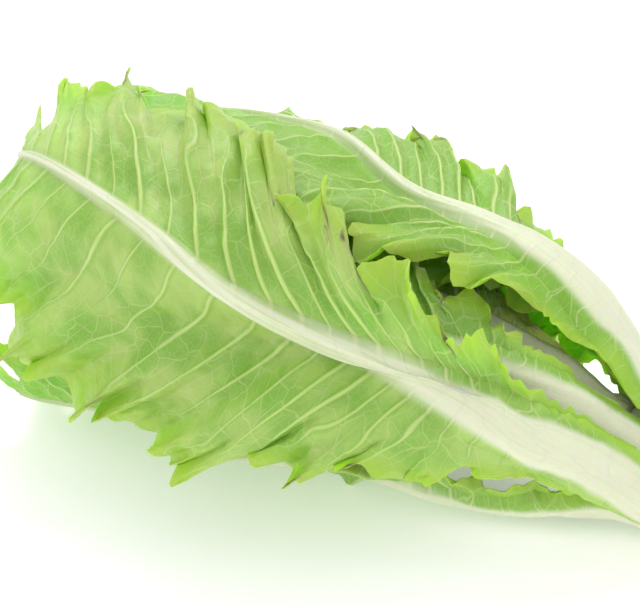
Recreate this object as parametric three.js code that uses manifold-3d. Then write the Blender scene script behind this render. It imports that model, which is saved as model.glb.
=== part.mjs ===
// A head of loose-leaf lettuce with broad white ribs, lying on its side.
// Millimetres, +Z up. The head's axis runs along X: the cut butt is at +X and the leaf tips at -X.
// The origin is at the bottom centre of the head's box, and the head rests on the plane z = 0.
//
// A point of the head is first given as (u, phi, r): u is the distance from the cut face along
// the axis, phi the angle around it (0 faces -Y, 90 degrees faces +Z) and r the distance from it.
// The leaves grow in a spiral. Each leaf fills a band of radii of its own, stacked on the bands
// of all younger leaves, and stays inside it however much it waves, so no two leaves cross.
import * as THREE from "three";
import { mergeVertices } from "three/addons/utils/BufferGeometryUtils.js";
import Module from "manifold-3d";

// The spiral, in degrees from leaf to leaf. The youngest leaves form the heart.
const LEAF_COUNT = 14;
const HEART_COUNT = 4;
const GOLDEN_ANGLE = -137.5;
const OLDEST_ANGLE = 5;

// The youngest and the oldest leaf: base and tip along the axis, half-widths of the blade and of
// the rib, the rib's thickness, and half the height of the waves at the margin.
const YOUNG = { base: 50, tip: 190, width: 32, ribWidth: 5, ribThickness: 2.4, wave: 3 };
const OLD = { base: 8, tip: 300, width: 80, ribWidth: 14.5, ribThickness: 8, wave: 9 };

// Degrees that a rib swings round the head on its way to the tip, and the share by which the side
// of the blade towards greater angles is narrower than the mean: the oldest leaf comes first.
// The younger leaves draw theirs, and their tips' places, from these ranges.
const OLD_BENDS = [55, 6, 34, 8, -12];
const OLD_UNEVEN = [0.2, 0, 0.3, 0.1, -0.1];
const BEND_RANGE = 24;
const UNEVEN_RANGE = 0.3;
const TIP_RANGE = 26;

// A blade is widest at WIDEST_SHARE of its length. TURN is the share of its side veins below there.
const SHEET = 0.9;
const WING_START = 0.1;
const WIDEST_SHARE = 0.68;
const TURN = 0.6;
const TIP_ANGLE = 82;
const VEIN_SWEEP = 0.85;

// Lobes and teeth along the margin, and the waves that run out to it.
const MARGIN_STRETCH = 1.15;
const MARGIN_OFFSET = 40;
const LOBE_DEPTH = 6.5;
const LOBES = { step: 5.2, share: 0.6 };
const TEETH = { step: 2.9, share: 0.4 };
const WAVES = { step: 6.8, share: 0.62 };
const SLOW_WAVES = { rate: 0.61, share: 0.38 };
const CURL = 3.5;
const WAVY_SHARE = [0.1, 0.9];

// The free room under a sheet at the base and in the blade, and the distance past a margin or
// beside a rib over which older leaves come down again.
const GAP = { base: 0.7, blade: 2.8 };
const MARGIN_SKIRT = [8, 42];
const RIB_SKIRT = 16;
const TIP_SKIRT = [5, 110];

// The head is pressed wider and flatter by its own weight, most of all where it meets the floor.
// A blade lies flat on the floor rather than reach below it, and sinks in by SEAT_SINK there, so
// that its underside is trimmed level.
const SLACK_LENGTH = 170;
const WIDTH_SCALE = 1.12;
const HEIGHT_SCALE = 0.74;
const HEIGHT_LIFT = 0.09;
const FLOOR_SPREAD = 0.16;
const SEAT_PRESS = 1;
const SEAT_SINK = 0.15;
const PRESSED_GAP = 0.8;
const PRESSED_SKIRT = [8, 20];

// Clearances between neighbouring pieces.
const FIT_GAP = 0.25;
const STEM_CLEARANCE = 1.2;

// Rows and columns of the leaves' meshes. The rib's columns count from its middle (0) to its
// edge (1), the blade's from there (0) to the margin (1).
const OUTER_GRID = { rows: 32, rib: [0.58, 1], blade: [0.36, 0.72, 1] };
const INNER_GRID = { ...OUTER_GRID, rows: 24 };
const HEART_GRID = { rows: 14, rib: [1], blade: [0.5, 1] };
const INNER_COUNT = 8;
const BLADE_START = 1 / 8;
const RIB_END = 7 / 8;

const lerp = THREE.MathUtils.lerp;
const smooth = (low, high, x) => THREE.MathUtils.smoothstep(x, low, high);
const radians = THREE.MathUtils.degToRad;
const clamp01 = (x) => Math.min(1, Math.max(0, x));
// Rises straight away at low and levels off at high.
const rise = (low, high, x) => Math.sin((clamp01((x - low) / (high - low)) * Math.PI) / 2);

// A repeatable draw from 0 to 1 for leaf number k.
function draw(k, channel) {
  const x = Math.sin(12.9898 * (k + 1) + 78.233 * (channel + 1)) * 43758.5453;
  return x - Math.floor(x);
}

// The leaves, youngest first.
const leaves = Array.from({ length: LEAF_COUNT }, (_, k) => {
  const age = k / (LEAF_COUNT - 1);
  const fromOldest = LEAF_COUNT - 1 - k;
  const between = (key, power = 1) => lerp(YOUNG[key], OLD[key], age ** power);
  const around = (channel, range) => range * (draw(k, channel) - 0.5);
  return {
    k,
    phi: radians(OLDEST_ANGLE + GOLDEN_ANGLE * fromOldest),
    base: between("base"),
    tip: between("tip", 0.6) + around(0, TIP_RANGE) * (1 - age),
    width: between("width", 0.8),
    ribWidth: between("ribWidth"),
    ribThickness: between("ribThickness"),
    wave: between("wave"),
    bend: radians(OLD_BENDS[fromOldest] ?? around(1, BEND_RANGE)),
    uneven: OLD_UNEVEN[fromOldest] ?? around(4, UNEVEN_RANGE),
  };
});

const share = (leaf, u) => (u - leaf.base) / (leaf.tip - leaf.base);

// A rib narrows fast above its base and evenly after that.
function ribHalfWidth(leaf, u) {
  const s = clamp01(share(leaf, u));
  return Math.max(1.2, leaf.ribWidth * (1 - 0.62 * smooth(0, 0.55, s) - 0.3 * s));
}

// A rib starts thin where the leaf was attached, and thins out to the tip.
function ribThickness(leaf, u) {
  const s = clamp01(share(leaf, u));
  const foot = 0.4 + 0.6 * smooth(0, 0.14, s);
  return leaf.ribThickness * foot * (1 - 0.35 * s - 0.55 * s ** 2);
}

// The blade's width at u on one side of the rib (side is 1, -1, or 0 for the mean of both),
// kept at its widest from there to the tip. Its wings widen slowly at first.
function halfWidth(leaf, u, side) {
  const grown = clamp01((share(leaf, u) - WING_START) / (WIDEST_SHARE - WING_START));
  const wing = 0.45 * grown ** 1.1 + 0.55 * smooth(0, 1, grown);
  return ribHalfWidth(leaf, u) + (leaf.width * (1 - leaf.uneven * side) - leaf.ribWidth) * wing;
}

const gapAt = (u) => lerp(GAP.base, GAP.blade, rise(20, 150, u));
const ribAngle = (leaf, u) => leaf.phi + leaf.bend * clamp01(share(leaf, u)) ** 0.8;
const waveHeight = (leaf, u) => leaf.wave * rise(0.04, 0.6, share(leaf, u));

// The room inside the youngest leaf, which opens towards the tips.
const hollow = (u) => 2.5 + 10 * rise(20, 170, u) + 10 * smooth(170, 300, u);

// A leaf's band fades out past its tip.
const reaches = (leaf, u) => 1 - smooth(leaf.tip + TIP_SKIRT[0], leaf.tip + TIP_SKIRT[1], u);

// The radius of leaf k's band, averaged round the head.
function meanRadius(k, u) {
  let r = hollow(u);
  for (const leaf of leaves.slice(0, k)) {
    const bladePart = Math.min(1, (halfWidth(leaf, u, 0) + 20) / (Math.PI * r));
    const ribPart = Math.min(1, (ribHalfWidth(leaf, u) + 8) / (Math.PI * r));
    const bladeRoom = gapAt(u) + SHEET + 1.2 * waveHeight(leaf, u);
    r += reaches(leaf, u) * (bladePart * bladeRoom + ribPart * ribThickness(leaf, u));
  }
  return r;
}

// How far (u, phi) lies from the middle of a leaf's rib, and how wide the blade is on that side.
function fromRib(leaf, u, phi) {
  const turned = phi - ribAngle(leaf, u);
  const nearest = Math.atan2(Math.sin(turned), Math.cos(turned));
  return {
    q: Math.abs(nearest) * meanRadius(leaf.k, u),
    width: halfWidth(leaf, u, Math.sign(nearest)),
  };
}

// How much room a leaf takes at (u, phi), which is what it adds to the radius of older leaves.
function bandThickness(leaf, u, phi) {
  const { q, width } = fromRib(leaf, u, phi);
  const onBlade = 1 - smooth(...MARGIN_SKIRT, q - width);
  const onRib = 1 - smooth(0, RIB_SKIRT, q - ribHalfWidth(leaf, u));
  const bladeRoom = gapAt(u) + SHEET + 2 * waveHeight(leaf, u) * smooth(...WAVY_SHARE, q / width);
  return reaches(leaf, u) * (onBlade * bladeRoom + onRib * ribThickness(leaf, u));
}

function bandRadius(k, u, phi) {
  let r = hollow(u);
  for (const leaf of leaves.slice(0, k)) r += bandThickness(leaf, u, phi);
  return r;
}

// The lowest that the middle of a sheet can lie: on the floor, or on the older leaves pressed there.
function lowestAt(leaf, u, phi) {
  let z = SEAT_PRESS + SHEET / 2 - SEAT_SINK;
  for (const older of leaves.slice(leaf.k + 1)) {
    const { q, width } = fromRib(older, u, phi);
    z += (SHEET + PRESSED_GAP) * (1 - smooth(...PRESSED_SKIRT, q - width));
  }
  return z;
}

// The head is round at the butt and pressed flatter towards the tips.
function toWorld(u, phi, r) {
  const slack = smooth(0, SLACK_LENGTH, u);
  const wide = lerp(1, WIDTH_SCALE, slack);
  const high = lerp(1, HEIGHT_SCALE, slack);
  const lift = lerp(0, HEIGHT_LIFT, slack);
  const axisHeight = (high - lift) * meanRadius(LEAF_COUNT, u);
  const s = Math.sin(phi);
  const spread = lerp(0, FLOOR_SPREAD, slack) * Math.max(0, -s);
  const y = -r * Math.cos(phi) * (wide + spread);
  const z = axisHeight + r * (high * s + lift * s * s);
  return new THREE.Vector3(-u, y, z);
}

// The plain outline of one side of a leaf from base (0) to tip (1).
function plainOutline(leaf, tau, side) {
  const widest = lerp(leaf.base, leaf.tip, WIDEST_SHARE);
  if (tau < TURN) {
    const u = lerp(leaf.base, widest, tau / TURN);
    return { u, q: halfWidth(leaf, u, side) };
  }
  const angle = (radians(TIP_ANGLE) * (tau - TURN)) / (1 - TURN);
  return {
    u: widest + (leaf.tip - widest) * Math.sin(angle),
    q: halfWidth(leaf, widest, side) * Math.cos(angle) ** 0.85,
  };
}

// The outline with its lobes and teeth, and the way run along it.
function outline(leaf, tau, side) {
  const { u, q } = plainOutline(leaf, tau, side);
  const offset = MARGIN_OFFSET * draw(leaf.k, side > 0 ? 2 : 3);
  const run = tau * MARGIN_STRETCH * (leaf.tip - leaf.base) + offset;
  const lobe = LOBES.share * Math.sin(run / LOBES.step) + TEETH.share * Math.sin(run / TEETH.step + 1);
  const depth = LOBE_DEPTH * lobe * smooth(0.12, 0.4, tau);
  return { u: u + depth * smooth(0.6, 1, tau), q: q + depth, run };
}

// Where along the axis a side vein leaves the rib.
function veinStart(leaf, tau) {
  const mean = plainOutline(leaf, tau, 0);
  return mean.u - VEIN_SWEEP * (mean.q - ribHalfWidth(leaf, mean.u)) * smooth(0, 0.3, tau);
}

// The middle of a leaf's sheet at (tau, t): tau counts the side veins from base to tip,
// and t runs from -1 at one margin through the rib to 1 at the other.
function sheetPoint(leaf, tau, t) {
  const side = Math.sign(t) || 1;
  const across = Math.abs(t);
  const far = outline(leaf, tau, side);
  const from = veinStart(leaf, tau);
  const phase = far.run / WAVES.step;
  const slowWave = SLOW_WAVES.share * Math.sin(phase * SLOW_WAVES.rate + 2 * side);
  const wave = WAVES.share * Math.sin(phase) + slowWave;
  const curl = CURL * Math.cos(phase) * across ** 3 * smooth(0.2, 0.5, tau);
  const u = from + (far.u - from) * across ** 1.25 + curl;
  const q = far.q * across;
  const phi = ribAngle(leaf, u) + (side * q) / meanRadius(leaf.k, u);
  const wavy = smooth(...WAVY_SHARE, q / halfWidth(leaf, u, side));
  const lift = waveHeight(leaf, u) * wavy * (1 + wave);
  const point = toWorld(u, phi, bandRadius(leaf.k, u, phi) + gapAt(u) / 2 + SHEET / 2 + lift);
  point.z = Math.max(point.z, lowestAt(leaf, u, phi));
  return point;
}

// Where the rows and columns of a leaf's mesh lie. NARROWEST keeps the first rows from closing up,
// and WIDEST_RIB leaves the blade a strip beside the rib at the base.
const NARROWEST = 3;
const WIDEST_RIB = 0.94;

function leafGrid(leaf, { rows, rib, blade }) {
  const taus = Array.from({ length: rows + 1 }, (_, i) => (i / rows) ** 0.92);
  const widthAt = (i, side) => Math.max(outline(leaf, taus[i], side).q, NARROWEST);
  const ribShare = (i, side) =>
    Math.min(WIDEST_RIB, ribHalfWidth(leaf, veinStart(leaf, taus[i])) / widthAt(i, side));
  const fitShare = (i, j) => (Math.sign(j) * FIT_GAP) / widthAt(i, Math.sign(j));
  const columns = [0, ...rib, ...blade.map((x) => 1 + x)];
  const half = columns.length - 1;
  const shareOf = (i, j) => {
    if (j === 0) return 0;
    const c = columns[Math.abs(j)];
    const edge = ribShare(i, Math.sign(j));
    return Math.sign(j) * (c <= 1 ? c * edge : edge + (c - 1) * (1 - edge));
  };
  return { taus, half, shareOf, fitShare, ribSteps: rib };
}

// A closed sheet over the chosen cells of a leaf's grid. The rib's thickness lies on its outer side.
function leafShell(leaf, grid, keepCell, nudge) {
  const { taus, half, shareOf, ribSteps } = grid;
  const rows = taus.length - 1;
  const columns = 2 * half + 1;
  const at = (i, j) => {
    const { dTau, dT } = nudge(i, j);
    return sheetPoint(leaf, taus[i] + dTau, shareOf(i, j) + dT);
  };
  const points = taus.map((_, i) => Array.from({ length: columns }, (_, c) => at(i, c - half)));
  const clampRow = (i) => Math.min(rows, Math.max(0, i));
  const clampColumn = (c) => Math.min(columns - 1, Math.max(0, c));
  const inner = [];
  const outer = [];
  points.forEach((line, i) => {
    inner.push([]);
    outer.push([]);
    line.forEach((p, c) => {
      const along = points[clampRow(i + 1)][c].clone().sub(points[clampRow(i - 1)][c]);
      const across = line[clampColumn(c + 1)].clone().sub(line[clampColumn(c - 1)]);
      const normal = across.cross(along).normalize();
      const off = [0, ...ribSteps][Math.abs(c - half)] ?? 1;
      const full = ribThickness(leaf, -p.x) * Math.sqrt(1 - off ** 2.4);
      inner[i].push(p.clone().addScaledVector(normal, -SHEET / 2));
      outer[i].push(p.clone().addScaledVector(normal, SHEET / 2 + full));
    });
  });

  const positions = [];
  const numbers = new Map();
  const vertex = (surface, i, c) => {
    const key = (surface === outer ? 1 : 0) + 2 * (i * columns + c);
    if (!numbers.has(key)) {
      numbers.set(key, positions.length / 3);
      positions.push(...surface[i][c].toArray());
    }
    return numbers.get(key);
  };
  const triangles = [];
  const quad = (a, b, c, d) => triangles.push(a, c, b, a, d, c);
  const kept = (i, c) => i >= 0 && i < rows && c >= 0 && c < columns - 1 && keepCell(i, c - half);
  for (let i = 0; i < rows; i++) {
    for (let c = 0; c < columns - 1; c++) {
      if (!kept(i, c)) continue;
      const corners = [[i, c], [i + 1, c], [i + 1, c + 1], [i, c + 1]];
      const [o0, o1, o2, o3] = corners.map(([a, b]) => vertex(outer, a, b));
      const [n0, n1, n2, n3] = corners.map(([a, b]) => vertex(inner, a, b));
      quad(o0, o1, o2, o3);
      triangles.push(n0, n1, n2, n0, n2, n3);
      if (!kept(i - 1, c)) quad(n0, o0, o3, n3);
      if (!kept(i + 1, c)) quad(n2, o2, o1, n1);
      if (!kept(i, c - 1)) quad(n1, o1, o0, n0);
      if (!kept(i, c + 1)) quad(n3, o3, o2, n2);
    }
  }
  return { positions, triangles };
}

function geometryOf({ positions, triangles }) {
  return new THREE.BufferGeometry()
    .setAttribute("position", new THREE.Float32BufferAttribute(positions, 3))
    .setIndex(triangles);
}

const wasm = await Module();
wasm.setup();

function solidOf(geometry) {
  const bare = new THREE.BufferGeometry()
    .setAttribute("position", geometry.getAttribute("position"))
    .setIndex(geometry.index);
  const merged = mergeVertices(bare, 1e-4);
  return new wasm.Manifold(
    new wasm.Mesh({
      numProp: 3,
      vertProperties: new Float32Array(merged.attributes.position.array),
      triVerts: new Uint32Array(merged.index.array),
    }),
  );
}

function geometryFrom(solid) {
  const mesh = solid.getMesh();
  return geometryOf({ positions: Array.from(mesh.vertProperties), triangles: Array.from(mesh.triVerts) });
}

const largest = (solid) => solid.decompose().sort((a, b) => b.volume() - a.volume())[0];

// Everything under the resting plane, which flattens what the head's weight presses on it.
const BELOW = { side: 800, depth: 100 };
const below = new THREE.BoxGeometry(BELOW.side, BELOW.side, BELOW.depth);
const belowSolid = solidOf(below.translate(0, 0, SEAT_PRESS - BELOW.depth / 2));

const lettuce = new THREE.Group();
lettuce.name = "lettuce";

function addPiece(name, geometry, color) {
  const seated = largest(solidOf(geometry).subtract(belowSolid));
  const mesh = new THREE.Mesh(
    geometryFrom(seated),
    new THREE.MeshStandardMaterial({ color, roughness: 0.45, metalness: 0 }),
  );
  mesh.name = name;
  lettuce.add(mesh);
}

// The outer leaves, each with its rib and its blade a hair's breadth apart.
const FIT_TAU = 0.002;

function outerLeafParts(leaf) {
  const sizes = leaf.k < INNER_COUNT ? INNER_GRID : OUTER_GRID;
  const grid = leafGrid(leaf, sizes);
  const ribColumns = sizes.rib.length;
  const ribEnd = sizes.rows * RIB_END;
  const bladeStart = sizes.rows * BLADE_START;
  const onRib = (i, j) => i < ribEnd && j >= -ribColumns && j < ribColumns;
  const onBlade = (i, j) => i >= bladeStart && !onRib(i, j);
  const ribNudge = (i, j) => ({
    dTau: i === ribEnd ? -FIT_TAU : 0,
    dT: Math.abs(j) === ribColumns ? -grid.fitShare(i, j) : 0,
  });
  const bladeNudge = (i, j) => ({
    dTau: i === ribEnd && Math.abs(j) <= ribColumns ? FIT_TAU : 0,
    dT: Math.abs(j) === ribColumns && i <= ribEnd ? grid.fitShare(i, j) : 0,
  });
  return {
    rib: leafShell(leaf, grid, onRib, ribNudge),
    blade: leafShell(leaf, grid, onBlade, bladeNudge),
  };
}

const heart = leaves.slice(0, HEART_COUNT);
const outerLeaves = leaves.slice(HEART_COUNT);
outerLeaves.toReversed().forEach((leaf, number) => {
  const { rib, blade } = outerLeafParts(leaf);
  const name = "leaf_" + String(number + 1).padStart(2, "0");
  addPiece(name + "_rib", geometryOf(rib), 0xe8eccb);
  addPiece(name + "_blade", geometryOf(blade), 0x8fbf3f);
});

// The stem fills what the leaf bases leave free at u, and stays just clear of them.
const STEM_PROBES = [-1, -2 / 3, -1 / 3, 0, 1 / 3, 2 / 3, 1];

function stemRadius(u) {
  let r = Infinity;
  for (const leaf of outerLeaves.filter((x) => x.base <= u + 1)) {
    const reach = (leaf.ribWidth + 1) / meanRadius(leaf.k, u);
    for (const probe of STEM_PROBES) {
      r = Math.min(r, bandRadius(leaf.k, u, leaf.phi + probe * reach));
    }
  }
  return r + gapAt(u) / 2 - STEM_CLEARANCE;
}

// A solid turned about the head's axis from a profile of [u, radius].
const TURNED_SEGMENTS = 20;

function turned(profile) {
  const points = profile.map(([u, r]) => new THREE.Vector2(r, -u)).reverse();
  const geometry = new THREE.LatheGeometry(points, TURNED_SEGMENTS).rotateZ(-Math.PI / 2);
  const position = geometry.getAttribute("position");
  for (let i = 0; i < position.count; i++) {
    const axis = toWorld(-position.getX(i), 0, 0);
    position.setZ(i, position.getZ(i) + axis.z);
  }
  return geometry;
}

// The stem: a short cone with a rounded cut edge, on which the outer leaves stand in steps.
const CUT_EDGE = 2.5;
const oldest = leaves.at(-1);
const stemTop = outerLeaves[0].base + 2;
const cutRadius = stemRadius(oldest.base);
const stemProfile = [
  [0, 0],
  [0, cutRadius - CUT_EDGE],
  [2, cutRadius - 0.8],
  [oldest.base - 1, cutRadius],
  ...outerLeaves.toReversed().map((leaf) => [leaf.base + 1, stemRadius(leaf.base + 1)]),
  [stemTop, 0],
];
addPiece("stem", turned(stemProfile), 0xe9ecd2);

// The heart: the youngest leaves, grown together on a small bud above the stem.
const BUD_GAP = 0.5;
const budRadius = (leaf) => bandRadius(leaf.k, leaf.base, leaf.phi) + 1.9;
const budProfile = [
  [stemTop + BUD_GAP, 0],
  [stemTop + BUD_GAP, budRadius(heart.at(-1))],
  ...heart.toReversed().map((leaf) => [leaf.base + 5, budRadius(leaf)]),
  [heart[0].base + 11, 0],
];
let heartSolid = solidOf(turned(budProfile));
for (const leaf of heart) {
  const wholeLeaf = () => true;
  const noNudge = () => ({ dTau: 0, dT: 0 });
  const shell = leafShell(leaf, leafGrid(leaf, HEART_GRID), wholeLeaf, noNudge);
  heartSolid = heartSolid.add(solidOf(geometryOf(shell)));
}
addPiece("heart", geometryFrom(heartSolid), 0xc9dc74);

// The origin goes to the bottom centre of the box.
const box = new THREE.Box3().setFromObject(lettuce);
const centre = box.getCenter(new THREE.Vector3());
for (const mesh of lettuce.children) {
  mesh.geometry.translate(-centre.x, -centre.y, -box.min.z);
}

export default lettuce;
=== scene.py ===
"""A head of loose-leaf lettuce lying on a pale floor.

The leaves are rebuilt from the same spiral as the frame's solids, with a fine mesh that adds side
veins, pleats, blisters, ruffles and teeth. Sizes are in millimetres until a mesh is made. A place on
the head is (u, phi, r): u from the cut face along the axis, phi round it from the camera's side
upwards, and r out from it.
A leaf is a grid of (tau, t): tau counts the side veins from base (0) to tip (1), and t runs from
-1 at one margin through the rib to 1 at the other.
"""

import math

import bpy
import numpy as np
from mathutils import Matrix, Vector


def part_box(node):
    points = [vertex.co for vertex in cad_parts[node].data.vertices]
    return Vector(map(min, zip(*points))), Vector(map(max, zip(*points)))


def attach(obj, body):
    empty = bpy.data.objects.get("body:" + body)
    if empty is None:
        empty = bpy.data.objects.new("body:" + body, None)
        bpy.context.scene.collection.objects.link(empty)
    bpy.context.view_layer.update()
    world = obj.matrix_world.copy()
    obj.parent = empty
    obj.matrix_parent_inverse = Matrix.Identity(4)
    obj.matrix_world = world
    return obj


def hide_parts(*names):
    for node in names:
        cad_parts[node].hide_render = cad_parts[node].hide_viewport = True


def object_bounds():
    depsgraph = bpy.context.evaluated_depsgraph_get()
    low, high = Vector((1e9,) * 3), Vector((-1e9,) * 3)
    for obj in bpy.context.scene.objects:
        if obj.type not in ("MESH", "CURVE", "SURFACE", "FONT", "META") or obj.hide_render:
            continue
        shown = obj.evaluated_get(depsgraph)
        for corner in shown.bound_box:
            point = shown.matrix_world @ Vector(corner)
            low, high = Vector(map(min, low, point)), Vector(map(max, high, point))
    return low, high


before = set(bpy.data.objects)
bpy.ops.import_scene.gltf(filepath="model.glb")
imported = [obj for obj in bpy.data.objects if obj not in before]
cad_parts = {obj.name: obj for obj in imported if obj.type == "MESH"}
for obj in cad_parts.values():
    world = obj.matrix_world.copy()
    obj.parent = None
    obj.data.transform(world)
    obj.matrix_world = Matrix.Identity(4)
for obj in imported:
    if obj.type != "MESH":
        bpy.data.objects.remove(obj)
CAD_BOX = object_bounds()

MM = 0.001

# The leaves of the frame's head, counted from the youngest. Angles are in degrees, and widths go
# from the middle of the rib.
LEAF_COUNT = 14
HEART_COUNT = 4
GOLDEN_ANGLE = -137.5
OLDEST_ANGLE = 5
YOUNG = {"base": 50, "tip": 190, "width": 32, "rib_width": 5, "rib_thickness": 2.4, "wave": 3}
OLD = {"base": 8, "tip": 300, "width": 80, "rib_width": 14.5, "rib_thickness": 8, "wave": 9}

# How far a rib swings round the head on its way to the tip, and the share by which the side of the
# blade towards greater angles is narrower: the oldest leaf comes first. The younger leaves draw
# theirs, and their tips' places, from the ranges.
OLD_BENDS = (55, 6, 34, 8, -12)
OLD_UNEVEN = (0.2, 0, 0.3, 0.1, -0.1)
BEND_RANGE = 24
UNEVEN_RANGE = 0.3
TIP_RANGE = 26
SHEET = 0.9

# The outline of a leaf and the waves of its margin. A run is how far a wave goes along the margin
# in one radian, or a tooth in all.
WING_START = 0.1
WIDEST_SHARE = 0.68
TURN = 0.6
TIP_ANGLE = 82
VEIN_SWEEP = 0.85
MARGIN_STRETCH = 1.15
MARGIN_OFFSET = 40
LOBE_DEPTH = 6.5
CURL = 3.5
CURL_RUN = 6.8
LOBE_RUNS = (5.2, 2.9)
WAVY_SHARE = (0.1, 0.9)
WAVE_GROWS = (0.04, 0.6)
RIB_TIP_HALF_WIDTH = 1.2

# The room that each leaf takes round the head, and the hollow that the youngest leaf stands round.
GAP_BASE = 0.7
GAP_BLADE = 2.8
GAP_GROWS = (20, 150)
WAVE_ROOM = 2
MEAN_WAVE_ROOM = 1.2
MEAN_BLADE_REACH = 20
MEAN_RIB_REACH = 8
HOLLOW_BASE = 2.5
HOLLOW_GROWTH = 10
HOLLOW_NARROW = (20, 170)
HOLLOW_WIDE = (170, 300)
MARGIN_SKIRT = (8, 42)
RIB_SKIRT = 16
TIP_SKIRT = (5, 110)
STEM_CLEARANCE = 1.2
BUD_REACH = 1.9

# How the head's own weight flattens it on the floor.
SLACK_LENGTH = 170
WIDTH_SCALE = 1.12
HEIGHT_SCALE = 0.74
HEIGHT_LIFT = 0.09
FLOOR_SPREAD = 0.16
SEAT_PRESS = 1
SEAT_SINK = 0.15
PRESSED_GAP = 0.8
PRESSED_SKIRT = (8, 20)

# The shares of a leaf's rows where its blade piece starts and its rib piece ends.
BLADE_START = 0.045
RIB_END = 7 / 8

# What the fine mesh adds.
VEIN_SPACING = 12
PLEAT = 1.4
RUFFLE = 0.6
FRILL = 0.34
FRILL_CURL = 0.7
VEIN_RELIEF = 1.0
BLISTER = 0.9
BLISTER_SIZES = (6.5, 3.1)
TOOTH_DEPTH = 2.2
TOOTH_RUN = 5.5
TOOTH_PLACE_RUN = 11
TOOTH_SIZE_RUN = 9
FRILL_RUN = 3.0
FRILL_PLACE_RUN = 25
FINE_FRILL_RUN = 1.55
CREST = 0.9
SHEET_SHOWN = 0.62
MARGIN_SHEET = 0.4
WHITE_AT_BASE = 0.64
WHITE_AT_TIP = 0.95
TURNED_SIDES = 120


def lerp(a, b, x):
    return a + (b - a) * x


def clamp01(x):
    return np.clip(x, 0, 1)


def smooth(low, high, x):
    x = clamp01((x - low) / (high - low))
    return x * x * (3 - 2 * x)


def rise(low, high, x):
    """Rises straight away at low and levels off at high."""
    return np.sin(clamp01((x - low) / (high - low)) * math.pi / 2)


def draw(k, channel):
    """A repeatable draw from 0 to 1 for leaf number k."""
    x = math.sin(12.9898 * (k + 1) + 78.233 * (channel + 1)) * 43758.5453
    return x - math.floor(x)


def noise(x, y, seed):
    """Smooth noise from -1 to 1 whose lattice is 1 wide."""
    xi, yi = np.floor(x), np.floor(y)
    fx, fy = smooth(0, 1, x - xi), smooth(0, 1, y - yi)

    def corner(i, j):
        h = np.sin(12.9898 * (xi + i) + 78.233 * (yi + j) + 37.719 * seed) * 43758.5453
        return 2 * (h - np.floor(h)) - 1

    low = lerp(corner(0, 0), corner(1, 0), fx)
    high = lerp(corner(0, 1), corner(1, 1), fx)
    return lerp(low, high, fy)


def make_leaf(k):
    age = k / (LEAF_COUNT - 1)
    from_oldest = LEAF_COUNT - 1 - k

    def between(key, power=1):
        return lerp(YOUNG[key], OLD[key], age**power)

    def around(channel, span):
        return span * (draw(k, channel) - 0.5)

    known = from_oldest < len(OLD_BENDS)
    return {
        "k": k,
        "phi": math.radians(OLDEST_ANGLE + GOLDEN_ANGLE * from_oldest),
        "base": between("base"),
        "tip": between("tip", 0.6) + around(0, TIP_RANGE) * (1 - age),
        "width": between("width", 0.8),
        "rib_width": between("rib_width"),
        "rib_thickness": between("rib_thickness"),
        "wave": between("wave"),
        "bend": math.radians(OLD_BENDS[from_oldest] if known else around(1, BEND_RANGE)),
        "uneven": OLD_UNEVEN[from_oldest] if known else around(4, UNEVEN_RANGE),
    }


LEAVES = [make_leaf(k) for k in range(LEAF_COUNT)]
HEART_LEAVES = LEAVES[:HEART_COUNT]
OUTER_LEAVES = LEAVES[HEART_COUNT:][::-1]


def share(leaf, u):
    return (u - leaf["base"]) / (leaf["tip"] - leaf["base"])


def rib_half_width(leaf, u):
    s = clamp01(share(leaf, u))
    return np.maximum(RIB_TIP_HALF_WIDTH, leaf["rib_width"] * (1 - 0.62 * smooth(0, 0.55, s) - 0.3 * s))


def rib_thickness(leaf, u):
    s = clamp01(share(leaf, u))
    foot = 0.4 + 0.6 * smooth(0, 0.14, s)
    return leaf["rib_thickness"] * foot * (1 - 0.35 * s - 0.55 * s**2)


def half_width(leaf, u, side):
    grown = clamp01((share(leaf, u) - WING_START) / (WIDEST_SHARE - WING_START))
    wing = 0.45 * grown**1.1 + 0.55 * smooth(0, 1, grown)
    side_width = leaf["width"] * (1 - leaf["uneven"] * side)
    return rib_half_width(leaf, u) + (side_width - leaf["rib_width"]) * wing


def gap_at(u):
    return lerp(GAP_BASE, GAP_BLADE, rise(*GAP_GROWS, u))


def rib_angle(leaf, u):
    return leaf["phi"] + leaf["bend"] * clamp01(share(leaf, u)) ** 0.8


def wave_height(leaf, u):
    return leaf["wave"] * rise(*WAVE_GROWS, share(leaf, u))


def hollow(u):
    growth = rise(*HOLLOW_NARROW, u) + smooth(*HOLLOW_WIDE, u)
    return HOLLOW_BASE + HOLLOW_GROWTH * growth


def reaches(leaf, u):
    """1 along a leaf, and less and less past its tip."""
    return 1 - smooth(leaf["tip"] + TIP_SKIRT[0], leaf["tip"] + TIP_SKIRT[1], u)


def mean_radius_table(k, u):
    """The radius of leaf k's band, averaged round the head."""
    r = hollow(u)
    for leaf in LEAVES[:k]:
        blade_part = np.minimum(1, (half_width(leaf, u, 0) + MEAN_BLADE_REACH) / (math.pi * r))
        rib_part = np.minimum(1, (rib_half_width(leaf, u) + MEAN_RIB_REACH) / (math.pi * r))
        blade_room = gap_at(u) + SHEET + MEAN_WAVE_ROOM * wave_height(leaf, u)
        r = r + reaches(leaf, u) * (blade_part * blade_room + rib_part * rib_thickness(leaf, u))
    return r


# Four places a millimetre, from behind the cut face to past the longest tip.
TABLE_U = np.linspace(-20, 420, 1761)
MEAN_RADII = [mean_radius_table(k, TABLE_U) for k in range(LEAF_COUNT + 1)]


def mean_radius(k, u):
    return np.interp(u, TABLE_U, MEAN_RADII[k])


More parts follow.
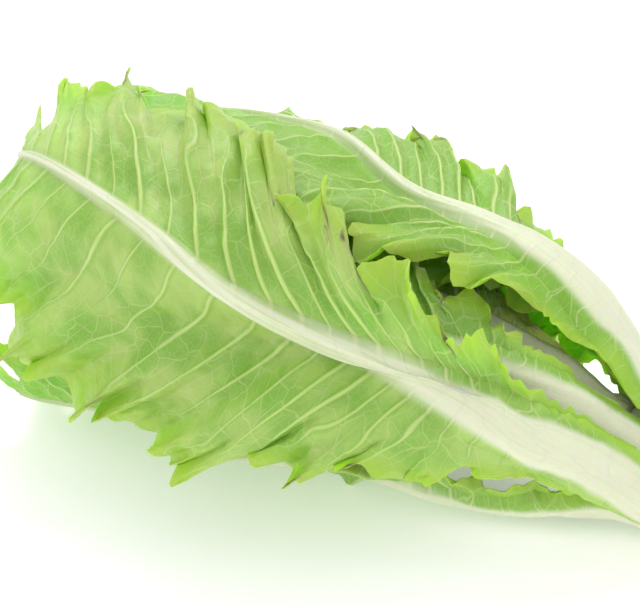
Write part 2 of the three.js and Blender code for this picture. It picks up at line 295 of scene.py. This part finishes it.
def from_rib(leaf, u, phi):
    """How far (u, phi) lies from a leaf's rib, and how wide the blade is on that side."""
    turned = phi - rib_angle(leaf, u)
    nearest = np.arctan2(np.sin(turned), np.cos(turned))
    side = np.sign(nearest) * (1 - smooth(math.pi / 2, math.pi, np.abs(nearest)))
    return np.abs(nearest) * mean_radius(leaf["k"], u), half_width(leaf, u, side)


def band_thickness(leaf, u, phi):
    """The room from a leaf's inner side to its outer side, with what keeps the next leaf clear."""
    q, width = from_rib(leaf, u, phi)
    on_blade = 1 - smooth(*MARGIN_SKIRT, q - width)
    on_rib = 1 - smooth(0, RIB_SKIRT, q - rib_half_width(leaf, u))
    room = gap_at(u) + SHEET + WAVE_ROOM * wave_height(leaf, u) * smooth(*WAVY_SHARE, q / width)
    return reaches(leaf, u) * (on_blade * room + on_rib * rib_thickness(leaf, u))


def band_radius(k, u, phi):
    return hollow(u) + sum(band_thickness(leaf, u, phi) for leaf in LEAVES[:k])


def lowest_at(leaf, u, phi):
    """The least height of a leaf's sheet over the floor and over the leaves pressed under it."""
    z = SEAT_PRESS + SHEET / 2 - SEAT_SINK
    for older in LEAVES[leaf["k"] + 1 :]:
        q, width = from_rib(older, u, phi)
        z = z + (SHEET + PRESSED_GAP) * (1 - smooth(*PRESSED_SKIRT, q - width))
    return z


STEM_LOW, STEM_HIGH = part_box("stem")
OFFSET = np.array([STEM_HIGH.x / MM, (STEM_LOW.y + STEM_HIGH.y) / 2 / MM, -SEAT_PRESS])


def to_frame(u, phi, r):
    """(u, phi, r) as points of the frame, still in millimetres."""
    slack = smooth(0, SLACK_LENGTH, u)
    wide, high = lerp(1, WIDTH_SCALE, slack), lerp(1, HEIGHT_SCALE, slack)
    lift = lerp(0, HEIGHT_LIFT, slack)
    s = np.sin(phi)
    spread = lerp(0, FLOOR_SPREAD, slack) * np.maximum(0, -s)
    y = -r * np.cos(phi) * (wide + spread)
    z = (high - lift) * mean_radius(LEAF_COUNT, u) + r * (high * s + lift * s * s)
    return np.stack([-u, y, z], -1)


def plain_outline(leaf, tau, side):
    """The margin without its lobes and teeth."""
    widest = lerp(leaf["base"], leaf["tip"], WIDEST_SHARE)
    angle = math.radians(TIP_ANGLE) * np.maximum(0, tau - TURN) / (1 - TURN)
    above = tau >= TURN
    tip_u = widest + (leaf["tip"] - widest) * np.sin(angle)
    u = np.where(above, tip_u, lerp(leaf["base"], widest, tau / TURN))
    tip_q = half_width(leaf, widest, side) * np.cos(angle) ** 0.85
    return u, np.where(above, tip_q, half_width(leaf, u, side))


def outline(leaf, tau, side):
    """The margin with its lobes and teeth, and the way run along it."""
    u, q = plain_outline(leaf, tau, side)
    offset = MARGIN_OFFSET * np.where(side > 0, draw(leaf["k"], 2), draw(leaf["k"], 3))
    run = tau * MARGIN_STRETCH * (leaf["tip"] - leaf["base"]) + offset
    lobe = 0.6 * np.sin(run / LOBE_RUNS[0]) + 0.4 * np.sin(run / LOBE_RUNS[1] + 1)
    tooth_run = run / TOOTH_RUN + 0.8 * noise(run / TOOTH_PLACE_RUN, side * 3.0, leaf["k"])
    tooth = 1 - 2 * smooth(0, 1, 2 * np.abs((tooth_run % 1) - 0.5))
    tooth_size = 0.5 + 0.5 * noise(run / TOOTH_SIZE_RUN, side * 7.0, leaf["k"] + 40)
    depth = LOBE_DEPTH * lobe * smooth(0.12, 0.4, tau)
    small = 0.35 * LOBE_DEPTH * lobe + TOOTH_DEPTH * tooth * tooth_size
    depth = depth + small * smooth(0.03, 0.2, tau)
    depth = np.maximum(depth, -0.6 * (q - rib_half_width(leaf, u)))
    return u + depth * smooth(0.6, 1, tau), q + depth, run


def vein_start(leaf, tau):
    """Where along the axis a side vein leaves the rib on its slanting way to the margin."""
    u, q = plain_outline(leaf, tau, 0)
    return u - VEIN_SWEEP * (q - rib_half_width(leaf, u)) * smooth(0, 0.3, tau)


def vein_count(leaf):
    return round((leaf["tip"] - leaf["base"]) / VEIN_SPACING)


def vein_pattern(leaf, tau, t):
    """Side veins as (distance from the nearest, in vein steps), its strength, and their number."""
    side = np.where(t >= 0, 1.0, -1.0)
    across = np.abs(t)
    count = vein_count(leaf)
    seed = leaf["k"] * 10
    warp = 0.5 * noise(tau * count * 0.6, across * 1.5 + side * 5, seed + 1)
    warp = warp + 0.2 * noise(tau * count * 1.7, across * 6 + side * 9, seed + 2)
    number = tau * count + warp * smooth(0.05, 0.6, across) + np.where(side < 0, 0.45, 0.0)
    nearest = np.round(number)
    off = np.abs(number - nearest)
    h = np.sin(nearest * 127.1 + side * 311.7 + leaf["k"] * 74.7) * 43758.5453
    strength = 0.4 + 0.6 * (h - np.floor(h))
    return number, off, strength


def sheet_point(leaf, tau, t):
    """The middle of the leaf's sheet, and where it is on the head."""
    side = np.where(t >= 0, 1.0, -1.0)
    across = np.abs(t)
    far_u, far_q, run = outline(leaf, tau, side)
    plain_u, plain_q = plain_outline(leaf, tau, side)
    start = vein_start(leaf, tau)
    phase = run / CURL_RUN
    wave = 0.62 * np.sin(phase) + 0.38 * np.sin(phase * 0.61 + 2 * side)
    curl = CURL * np.cos(phase) * across**3 * smooth(0.2, 0.5, tau)
    frill = run / FRILL_RUN + 1.5 * noise(run / FRILL_PLACE_RUN, side * 2.0, leaf["k"] + 80)
    curl = curl + FRILL_CURL * np.cos(frill) * across**4 * smooth(0.05, 0.3, tau)
    u = start + (plain_u - start) * across**1.25 + (far_u - plain_u) * across**3 + curl
    q = plain_q * across + (far_q - plain_q) * across**3
    phi = rib_angle(leaf, u) + side * q / mean_radius(leaf["k"], u)
    wavy = smooth(*WAVY_SHARE, q / half_width(leaf, u, side))
    room = wave_height(leaf, u) * wavy
    rib_mm = q - rib_half_width(leaf, start)
    white_share = lerp(WHITE_AT_BASE, WHITE_AT_TIP, smooth(0.08, 0.45, tau))
    white_mm = q - rib_half_width(leaf, start) * white_share
    number, off, strength = vein_pattern(leaf, tau, t)
    on_blade = smooth(0, 8, rib_mm)
    pleat = 2 * strength * (1 - smooth(0, 0.5, off)) - 0.8
    pleat_height = PLEAT + 0.15 * room
    seed = leaf["k"] * 10
    large, small = BLISTER_SIZES
    blister = noise(u / large, side * q / large, seed + 3)
    blister = blister + 0.5 * noise(u / small, side * q / small, seed + 4)
    fine_frill = np.sin(run / FINE_FRILL_RUN + 2 * side)
    ruffle = RUFFLE * across**3 * np.sin(frill) + FRILL * across**5 * fine_frill
    lift = room * np.clip(0.8 * (1 + wave) + ruffle, 0, 2)
    lift = lift + on_blade * (0.6 * pleat_height * pleat + BLISTER * blister)
    r = band_radius(leaf["k"], u, phi) + gap_at(u) / 2 + SHEET / 2 + lift
    point = to_frame(u, phi, r)
    point[..., 2] = np.maximum(point[..., 2], lowest_at(leaf, u, phi))
    return {
        "point": point + OFFSET,
        "u": u,
        "q": side * q,
        "rib_mm": rib_mm,
        "white_mm": white_mm,
        "number": number,
        "off": off,
        "strength": strength,
    }


def rib_share(leaf, tau, side):
    """The share of the way to the margin that lies on the rib."""
    plain_q = plain_outline(leaf, tau, side)[1]
    return np.minimum(0.94, rib_half_width(leaf, vein_start(leaf, tau)) / np.maximum(plain_q, 3))


def leaf_grid(leaf, rows, rib_columns, blade_columns):
    """Rows of points from base to tip; rib columns 0 to 1, then blade columns out to 2."""
    rib = np.linspace(0, 1, rib_columns + 1)
    blade = 1 + np.linspace(0, 1, blade_columns + 1)[1:] ** 0.9
    half = np.concatenate([rib, blade])
    columns = np.concatenate([-half[:0:-1], half])
    taus = (np.arange(rows + 1) / rows) ** 0.92
    tau, c = np.meshgrid(taus, columns, indexing="ij")
    side = np.where(c >= 0, 1.0, -1.0)
    inner = rib_share(leaf, tau, side)
    reach = np.abs(c)
    t = side * np.where(reach <= 1, reach * inner, inner + (reach - 1) * (1 - inner))
    made = sheet_point(leaf, tau, t)
    made.update(tau=tau, t=t, c=c)
    return made


def grid_normals(p):
    along = np.gradient(p, axis=0)
    across = np.gradient(p, axis=1)
    n = np.cross(across, along)
    return n / np.maximum(np.linalg.norm(n, axis=-1, keepdims=True), 1e-9)


def vein_spacing(leaf, p, tau, t):
    """Millimetres from one side vein to the next at each grid point."""
    by_row = np.gradient(p, axis=0) / np.gradient(tau, axis=0)[..., None]
    by_column = np.gradient(p, axis=1)
    area = np.linalg.norm(np.cross(by_row, by_column), axis=-1)
    length = np.maximum(np.linalg.norm(by_column, axis=-1), 1e-6)
    return area / length / vein_count(leaf)


def surfaces(leaf, grid):
    """The inner and the outer surface of a leaf's grid, with rib and veins raised outwards."""
    p = grid["point"]
    n = grid_normals(p)
    across = np.abs(grid["t"])
    spacing = vein_spacing(leaf, p, grid["tau"], grid["t"])
    off_rib = np.clip(np.abs(grid["c"]), 0, 1)
    thick = rib_thickness(leaf, -(p[..., 0] - OFFSET[0]))
    full = thick * np.sqrt(1 - off_rib**2.4)
    crests = np.exp(-(((grid["c"] - 0.45) / 0.17) ** 2))
    crests = crests + 0.5 * np.exp(-(((grid["c"] + 0.5) / 0.2) ** 2))
    full = full + CREST * crests * thick / OLD["rib_thickness"] * smooth(0.02, 0.1, grid["tau"])
    from_vein = grid["off"] * spacing
    vein_half = lerp(1.0, 0.4, smooth(0, 0.9, across))
    shape = np.exp(-((from_vein / vein_half) ** 2))
    fade = 1 - 0.8 * smooth(0.1, 1, across)
    on_blade = smooth(-1, 1.5, grid["rib_mm"])
    vein = VEIN_RELIEF * fade * grid["strength"] * shape * on_blade
    blade_sheet = lerp(SHEET_SHOWN, MARGIN_SHEET, smooth(0.6, 1, across))
    sheet = lerp(SHEET, blade_sheet, smooth(0, 4, grid["rib_mm"]))
    half = sheet[..., None] / 2
    inner = p - n * half
    outer = p + n * (half + full[..., None] + vein[..., None])
    return inner, outer, spacing


def loop_normals(quads, inner, outer):
    """The grid's own normals for both skins, so that rib and blade shade as one; walls keep theirs."""
    count = inner.shape[0] * inner.shape[1]
    skins = np.concatenate([-grid_normals(inner).reshape(-1, 3), grid_normals(outer).reshape(-1, 3)])
    is_outer = quads >= count
    wall = is_outer.any(1) & ~is_outer.all(1)
    normals = skins[quads]
    normals[wall] = 0
    return normals.reshape(-1, 3)


def give_values(mesh, key, values):
    """One number a vertex, for the material."""
    attribute = mesh.attributes.new(key, "FLOAT", "POINT")
    attribute.data.foreach_set("value", values.astype(np.float32))


def give_places(mesh, places):
    """Where each vertex lies in the material's noises, in millimetres."""
    attribute = mesh.attributes.new("place", "FLOAT_VECTOR", "POINT")
    attribute.data.foreach_set("vector", places.ravel().astype(np.float32))


def shell(name, grid, inner, outer, spacing, keep, leaf):
    """A closed mesh of the kept cells of a grid: outer and inner skin and the walls between."""
    rows, columns = keep.shape
    ids = np.arange((rows + 1) * (columns + 1)).reshape(rows + 1, columns + 1)
    count = ids.size
    a, b = ids[:-1, :-1], ids[:-1, 1:]
    d, c = ids[1:, :-1], ids[1:, 1:]
    faces = [
        np.stack([a, b, c, d], -1)[keep] + count,
        np.stack([a, d, c, b], -1)[keep],
    ]
    kept = np.pad(keep, 1)
    here = kept[1:-1, 1:-1]
    walls = (
        (here & ~kept[:-2, 1:-1], a, b),
        (here & ~kept[1:-1, 2:], b, c),
        (here & ~kept[2:, 1:-1], c, d),
        (here & ~kept[1:-1, :-2], d, a),
    )
    for edge, start, end in walls:
        s, e = start[edge], end[edge]
        faces.append(np.stack([s, e, e + count, s + count], -1))
    quads = np.concatenate(faces)
    points = np.concatenate([inner.reshape(-1, 3), outer.reshape(-1, 3)])
    used = np.unique(quads)
    index = np.full(len(points), -1)
    index[used] = np.arange(len(used))
    points[:, 2] = np.maximum(points[:, 2], 0)

    mesh = bpy.data.meshes.new(name)
    mesh.from_pydata((points[used] * MM).tolist(), [], index[quads].tolist())
    number = grid["number"]
    values = {
        "vein_number": number,
        "vein_strength": grid["strength"],
        "across": np.abs(grid["t"]),
        "along": grid["tau"],
        "rib_mm": grid["rib_mm"],
        "white_mm": grid["white_mm"],
        "spacing": spacing,
    }
    for key, value in values.items():
        give_values(mesh, key, np.concatenate([value.ravel(), value.ravel()])[used])
    flat = np.stack([grid["u"], grid["q"], np.full_like(number, leaf["k"] * 100)], -1).reshape(-1, 3)
    give_places(mesh, np.concatenate([flat, flat])[used])
    mesh.normals_split_custom_set(loop_normals(quads, inner, outer).tolist())
    return bpy.data.objects.new(name, mesh)


def leaf_pieces(name, leaf, rows, rib_columns, blade_columns):
    """The rib and the blade of a leaf, as two closed pieces that meet along the rib."""
    grid = leaf_grid(leaf, rows, rib_columns, blade_columns)
    inner, outer, spacing = surfaces(leaf, grid)
    row = np.arange(rows)[:, None]
    mid = (grid["c"][:-1, :-1] + grid["c"][:-1, 1:]) / 2
    on_rib = (row < round(rows * RIB_END)) & (np.abs(mid) < 1)
    on_blade = (row >= round(rows * BLADE_START)) & ~on_rib
    rib = shell(name + "_rib_fine", grid, inner, outer, spacing, on_rib, leaf)
    blade = shell(name + "_blade_fine", grid, inner, outer, spacing, on_blade, leaf)
    return rib, blade


class Nodes:
    """Builds a material's nodes. A value is a number, a colour or another node's output."""

    def __init__(self, name):
        self.material = bpy.data.materials.new(name)
        self.material.use_nodes = True
        self.tree = self.material.node_tree
        self.shader = self.tree.nodes["Principled BSDF"]

    def give(self, socket, value):
        if isinstance(value, bpy.types.NodeSocket):
            self.tree.links.new(value, socket)
        elif isinstance(value, tuple) and socket.type == "RGBA":
            socket.default_value = (*value, 1)
        else:
            socket.default_value = value

    def attribute(self, name, output="Fac"):
        node = self.tree.nodes.new("ShaderNodeAttribute")
        node.attribute_name = name
        return node.outputs[output]

    def math(self, operation, *values):
        node = self.tree.nodes.new("ShaderNodeMath")
        node.operation = operation
        for socket, value in zip(node.inputs, values):
            self.give(socket, value)
        return node.outputs[0]

    def vector(self, operation, *values):
        node = self.tree.nodes.new("ShaderNodeVectorMath")
        node.operation = operation
        for socket, value in zip(node.inputs, values):
            self.give(socket, value)
        return node.outputs[0]

    def between(self, value, low, high, to_low=0.0, to_high=1.0):
        """A smooth step of value from low to high."""
        node = self.tree.nodes.new("ShaderNodeMapRange")
        node.interpolation_type = "SMOOTHSTEP"
        for socket, given in zip(node.inputs, (value, low, high, to_low, to_high)):
            self.give(socket, given)
        return node.outputs[0]

    def mix(self, factor, a, b):
        node = self.tree.nodes.new("ShaderNodeMix")
        node.data_type = "RGBA"
        for key, value in (("Factor_Float", factor), ("A_Color", a), ("B_Color", b)):
            socket = next(s for s in node.inputs if s.identifier == key)
            self.give(socket, value)
        return next(s for s in node.outputs if s.identifier == "Result_Color")

    def noise(self, vector, scale, detail=2.0):
        node = self.tree.nodes.new("ShaderNodeTexNoise")
        self.give(node.inputs["Vector"], vector)
        node.inputs["Scale"].default_value = scale
        node.inputs["Detail"].default_value = detail
        return node.outputs["Fac"]

    def noise_colour(self, vector, scale):
        node = self.tree.nodes.new("ShaderNodeTexNoise")
        self.give(node.inputs["Vector"], vector)
        node.inputs["Scale"].default_value = scale
        return node.outputs["Color"]

    def cell_edges(self, vector, scale):
        """The distance from the edges of an uneven net, in cells."""
        node = self.tree.nodes.new("ShaderNodeTexVoronoi")
        node.voronoi_dimensions = "2D"
        node.feature = "DISTANCE_TO_EDGE"
        self.give(node.inputs["Vector"], vector)
        node.inputs["Scale"].default_value = scale
        return node.outputs["Distance"]

    def bump(self, height, distance_mm, strength=1.0):
        node = self.tree.nodes.new("ShaderNodeBump")
        node.inputs["Distance"].default_value = distance_mm * MM
        node.inputs["Strength"].default_value = strength
        self.give(node.inputs["Height"], height)
        return node.outputs[0]


def srgb(red, green, blue):
    """A linear colour from 0 to 255 screen values."""

    def linear(v):
        v /= 255
        return v / 12.92 if v <= 0.04045 else ((v + 0.055) / 1.055) ** 2.4

    return (linear(red), linear(green), linear(blue))


CREAM = srgb(228, 230, 204)
RIB_GREEN = srgb(190, 210, 140)
VEIN_PALE = srgb(200, 216, 140)
OUTER_PALE = srgb(176, 208, 110)
# OUTER_DEEP, and INNER_GREEN on the heart leaves, is the blade's darker green in random patches and also
# painted shade in the furrow beside each side vein.
OUTER_DEEP = srgb(138, 184, 72)
INNER_GREEN = srgb(136, 190, 56)
# MARGIN_GREEN is partly the margin's own yellow-green and partly painted light shining through the thin
# margin.
MARGIN_GREEN = srgb(162, 206, 58)
HEART_GREEN = srgb(214, 228, 120)
STEM_GREEN = srgb(206, 218, 166)
CUT_CREAM = srgb(232, 224, 190)
CUT_BROWN = srgb(190, 150, 96)


def leaf_material(name, blade_colour, deep_colour, margin_colour, vein_colour):
    """Leaf tissue: cream rib, pale veins and net over green blade, with painted shade beside each side
    vein, and brighter at the margin, partly its own colour and partly painted light shining through it.
    """
    n = Nodes(name)
    place = n.attribute("place", "Vector")
    across = n.attribute("across")
    along = n.attribute("along")
    rib_mm = n.attribute("rib_mm")
    number = n.attribute("vein_number")
    strength = n.attribute("vein_strength")

    from_vein = n.math("PINGPONG", number, 0.5)
    from_vein_mm = n.math("MULTIPLY", from_vein, n.attribute("spacing"))
    vein_width = n.between(across, 0.0, 0.9, 1.15, 0.4)
    vein_width = n.math("MULTIPLY", vein_width, strength)
    main_vein = n.between(n.math("DIVIDE", from_vein_mm, vein_width), 0.3, 1.2, 1.0, 0.0)
    from_fork_mm = n.math("MULTIPLY", n.math("SUBTRACT", 0.5, from_vein), n.attribute("spacing"))
    fork = n.between(n.math("DIVIDE", from_fork_mm, vein_width), 0.2, 0.9, 1.0, 0.0)
    fork = n.math("MULTIPLY", fork, n.between(across, 0.3, 0.7, 0.0, 0.8))
    main_vein = n.math("MAXIMUM", main_vein, fork)

    coarse = n.noise(place, 0.05)
    warped = n.vector("ADD", place, n.vector("MULTIPLY", n.noise_colour(place, 0.12), (5.0, 5.0, 0.0)))
    net = n.between(n.cell_edges(warped, 0.11), 0.0, 0.05, 1.0, 0.0)
    fine_net = n.between(n.cell_edges(warped, 0.36), 0.0, 0.09, 1.0, 0.0)
    net_shown = n.between(across, 0.12, 0.5, 0.25, 0.75)
    net = n.math("MULTIPLY", net, net_shown)
    fine_net = n.math("MULTIPLY", fine_net, 0.28)

    green = n.mix(n.between(coarse, 0.35, 0.65), blade_colour, deep_colour)
    # Painted shade: just beside each side vein the blade darkens towards the deep colour, as if the
    # furrow there were shaded.
    painted_furrow_shade = n.between(n.math("DIVIDE", from_vein_mm, vein_width), 1.0, 3.2, 0.55, 0.0)
    green = n.mix(painted_furrow_shade, green, deep_colour)
    # Towards the margin the blade turns yellower and brighter. This is partly the margin's own colour and
    # partly painted light shining through the thin margin.
    green = n.mix(n.between(across, 0.6, 1.0), green, margin_colour)
    veins = n.math("MAXIMUM", main_vein, n.math("MAXIMUM", net, fine_net))
    veins = n.math("MULTIPLY", veins, n.between(across, 0.4, 1.0, 0.8, 0.35))
    blade = n.mix(veins, green, vein_colour)

    streaks = n.noise(n.vector("MULTIPLY", place, (0.02, 0.9, 1.0)), 1.0, 3.0)
    rib = n.mix(n.between(streaks, 0.4, 0.7), CREAM, RIB_GREEN)
    rib = n.mix(n.between(along, 0.1, 0.8, 0.15, 1.0), CREAM, rib)
    colour = n.mix(n.between(n.attribute("white_mm"), -1.2, 1.4), rib, blade)

    grain = n.noise(place, 1.1, 4.0)
    blisters = n.noise(place, 0.32, 3.0)
    height = n.math("ADD", n.math("MULTIPLY", grain, 0.35), n.math("MULTIPLY", blisters, 0.8))
    height = n.math("MULTIPLY", height, n.between(rib_mm, -1.0, 3.0, 0.25, 1.0))
    ridges = n.math("ADD", n.math("MULTIPLY", veins, 0.7), n.math("MULTIPLY", streaks, 0.5))
    height = n.math("ADD", height, ridges)

    shader = n.shader
    n.give(shader.inputs["Base Color"], colour)
    n.give(shader.inputs["Roughness"], n.between(grain, 0.3, 0.7, 0.34, 0.5))
    n.give(shader.inputs["Subsurface Weight"], n.between(n.math("ABSOLUTE", rib_mm), 0.5, 5.0, 0.0, 0.85))
    shader.inputs["Subsurface Radius"].default_value = (0.6, 1.0, 0.25)
    shader.inputs["Subsurface Scale"].default_value = 3 * MM
    n.give(shader.inputs["Normal"], n.bump(height, 0.35, 0.8))
    return n.material


def flesh_material(name):
    """Cream flesh, browned in patches where "cut" marks the cut face."""
    n = Nodes(name)
    place = n.attribute("place", "Vector")
    cut = n.attribute("cut")
    mottle = n.noise(place, 0.16, 4.0)
    grain = n.noise(place, 1.4, 3.0)
    colour = n.mix(n.between(mottle, 0.35, 0.7), CREAM, STEM_GREEN)
    face = n.mix(n.between(mottle, 0.45, 0.75), CUT_CREAM, CUT_BROWN)
    colour = n.mix(cut, colour, face)
    n.give(n.shader.inputs["Base Color"], colour)
    n.give(n.shader.inputs["Roughness"], n.between(grain, 0.3, 0.7, 0.4, 0.6))
    height = n.math("ADD", n.math("MULTIPLY", mottle, 2.0), grain)
    n.give(n.shader.inputs["Normal"], n.bump(height, 0.4, 0.8))
    return n.material


def stem_radius(u):
    """How far out the stem reaches at u, just inside the ribs round it."""
    r = math.inf
    for leaf in OUTER_LEAVES:
        if leaf["base"] <= u + 1:
            beside = (leaf["rib_width"] + 1) / mean_radius(leaf["k"], u)
            around = [leaf["phi"] - beside, leaf["phi"], leaf["phi"] + beside]
            r = min(r, min(float(band_radius(leaf["k"], np.array(u), phi)) for phi in around))
    return r + float(gap_at(np.array(u))) / 2 - STEM_CLEARANCE


def turned(name, profile, seed, dents):
    """A body turned about the head's axis from (u, radius) points, slightly uneven."""
    phis = np.linspace(0, 2 * math.pi, TURNED_SIDES, endpoint=False)
    rings = []
    for u, r in profile[1:-1]:
        uneven = 1 + dents * noise(3 * np.cos(phis) + u / 6, 3 * np.sin(phis) + u / 9, seed)
        y, z = -r * uneven * np.cos(phis), r * uneven * np.sin(phis)
        rings.append(np.stack([np.full_like(y, -u), y, z], -1))
    lifts = [float(to_frame(np.array(u), np.array(0.0), np.array(0.0))[2]) for u, _ in profile]
    for ring, lift in zip(rings, lifts[1:-1]):
        ring[:, 2] += lift
    first = np.array([[-profile[0][0], 0, lifts[0]]])
    last = np.array([[-profile[-1][0], 0, lifts[-1]]])
    points = np.concatenate([first, *rings, last]) + OFFSET
    sides = TURNED_SIDES
    faces = []
    for i in range(sides):
        j = (i + 1) % sides
        faces.append((0, 1 + j, 1 + i))
        for ring in range(len(rings) - 1):
            low, high = 1 + ring * sides, 1 + (ring + 1) * sides
            faces.append((low + i, low + j, high + j, high + i))
        top = 1 + (len(rings) - 1) * sides
        faces.append((top + i, top + j, len(points) - 1))
    mesh = bpy.data.meshes.new(name)
    mesh.from_pydata((points * MM).tolist(), [], faces)
    mesh.shade_smooth()
    give_places(mesh, points)
    return bpy.data.objects.new(name, mesh)


def stem_piece():
    """The stem from its hollowed cut face with a rounded edge to the foot of the bud."""
    oldest_base = OUTER_LEAVES[0]["base"]
    cut_radius = stem_radius(oldest_base)
    top = OUTER_LEAVES[-1]["base"] + 2
    profile = [(0.6, 0), (0.5, cut_radius * 0.45), (0.1, cut_radius - 3)]
    profile += [(0.4, cut_radius - 1.6), (2, cut_radius - 0.7), (oldest_base - 1, cut_radius)]
    profile += [(leaf["base"] + 1, stem_radius(leaf["base"] + 1)) for leaf in OUTER_LEAVES]
    profile += [(top, 0)]
    piece = turned("stem_fine", profile, 3, 0.012)
    x = np.array([v.co.x for v in piece.data.vertices]) / MM
    cut = 1 - smooth(0.8, 2.2, OFFSET[0] - x)
    give_values(piece.data, "cut", cut)
    return piece


def bud_piece():
    """The bud that the heart's leaves grow from."""
    top = OUTER_LEAVES[-1]["base"] + 2
    heart = HEART_LEAVES[::-1]

    def radius(leaf):
        u = np.array(leaf["base"])
        return float(band_radius(leaf["k"], u, leaf["phi"])) + BUD_REACH

    profile = [(top + 0.5, 0), (top + 0.5, radius(heart[0]))]
    profile += [(leaf["base"] + 5, radius(leaf)) for leaf in heart]
    profile += [(heart[-1]["base"] + 11, 0)]
    return turned("bud_fine", profile, 5, 0.03)


def add(piece, material, node):
    bpy.context.scene.collection.objects.link(piece)
    piece.data.materials.append(material)
    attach(piece, "root")
    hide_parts(node)


# Rows, rib columns and blade columns a side: the front leaves are the finest.
GRIDS = {
    "leaf_01": (290, 10, 64),
    "leaf_02": (170, 6, 38),
    "leaf_03": (230, 8, 50),
    "leaf_04": (230, 8, 50),
    "leaf_05": (190, 6, 42),
    "leaf_06": (230, 8, 48),
}
YOUNGER_GRID = (150, 5, 34)
HEART_LEAF_GRID = (90, 3, 18)

front_material = leaf_material("front_leaf", OUTER_PALE, OUTER_DEEP, MARGIN_GREEN, VEIN_PALE)
green_material = leaf_material("green_leaf", INNER_GREEN, OUTER_DEEP, MARGIN_GREEN, VEIN_PALE)
heart_material = leaf_material("heart_leaf", HEART_GREEN, INNER_GREEN, HEART_GREEN, CREAM)

for place, leaf in enumerate(OUTER_LEAVES):
    name = f"leaf_{place + 1:02d}"
    material = front_material if place == 0 else green_material
    rib, blade = leaf_pieces(name, leaf, *GRIDS.get(name, YOUNGER_GRID))
    add(rib, material, name + "_rib")
    add(blade, material, name + "_blade")

for leaf in HEART_LEAVES:
    rib, blade = leaf_pieces(f"heart_leaf_{leaf['k'] + 1}", leaf, *HEART_LEAF_GRID)
    add(rib, heart_material, "heart")
    add(blade, heart_material, "heart")

add(stem_piece(), flesh_material("stem_flesh"), "stem")
add(bud_piece(), flesh_material("bud_flesh"), "heart")


def make_floor():
    """A pale floor a hair below the head, in metres."""
    mesh = bpy.data.meshes.new("floor")
    side = 6.0
    z = -0.0002
    corners = [(-side, -side, z), (side, -side, z), (side, side, z), (-side, side, z)]
    mesh.from_pydata(corners, [], [(0, 1, 2, 3)])
    floor = bpy.data.objects.new("floor", mesh)
    n = Nodes("floor_paint")
    position = n.tree.nodes.new("ShaderNodeTexCoord").outputs["Object"]
    paint = n.mix(n.noise(position, 20.0), (0.93, 0.94, 0.93), (0.95, 0.95, 0.95))
    n.give(n.shader.inputs["Base Color"], paint)
    n.shader.inputs["Roughness"].default_value = 0.6
    n.shader.inputs["Emission Color"].default_value = (1, 1, 1, 1)
    n.shader.inputs["Emission Strength"].default_value = 0.3
    mesh.materials.append(n.material)
    bpy.context.scene.collection.objects.link(floor)


def add_light(name, place, aim, size, watts):
    data = bpy.data.lights.new(name, "AREA")
    data.size = size
    data.energy = watts
    light = bpy.data.objects.new(name, data)
    light.location = place
    light.rotation_euler = (Vector(aim) - Vector(place)).to_track_quat("-Z", "Y").to_euler()
    bpy.context.scene.collection.objects.link(light)


def add_camera(azimuth, elevation, target, distance, lens):
    """Azimuth 0 looks along +Y and 90 along -X."""
    a, e = math.radians(azimuth), math.radians(elevation)
    back = Vector((math.sin(a) * math.cos(e), -math.cos(a) * math.cos(e), math.sin(e)))
    data = bpy.data.cameras.new("camera")
    data.lens = lens
    data.clip_start = 0.01
    camera = bpy.data.objects.new("camera", data)
    camera.location = Vector(target) + back * distance
    camera.rotation_euler = (-back).to_track_quat("-Z", "Y").to_euler()
    bpy.context.scene.collection.objects.link(camera)
    bpy.context.scene.camera = camera


make_floor()
middle = (CAD_BOX[0] + CAD_BOX[1]) / 2
add_light("key", (-0.35, 0.45, 1.1), middle, size=0.6, watts=5)
add_light("front", (0.2, -0.9, 0.9), middle, size=0.9, watts=1.5)
world = bpy.data.worlds.new("studio")
world.use_nodes = True
world.node_tree.nodes["Background"].inputs["Color"].default_value = (1, 1, 1, 1)
world.node_tree.nodes["Background"].inputs["Strength"].default_value = 0.88
bpy.context.scene.world = world
bpy.context.scene.view_settings.view_transform = "Standard"
add_camera(azimuth=32, elevation=29, target=(-0.02, -0.012, 0.058), distance=0.62, lens=85)
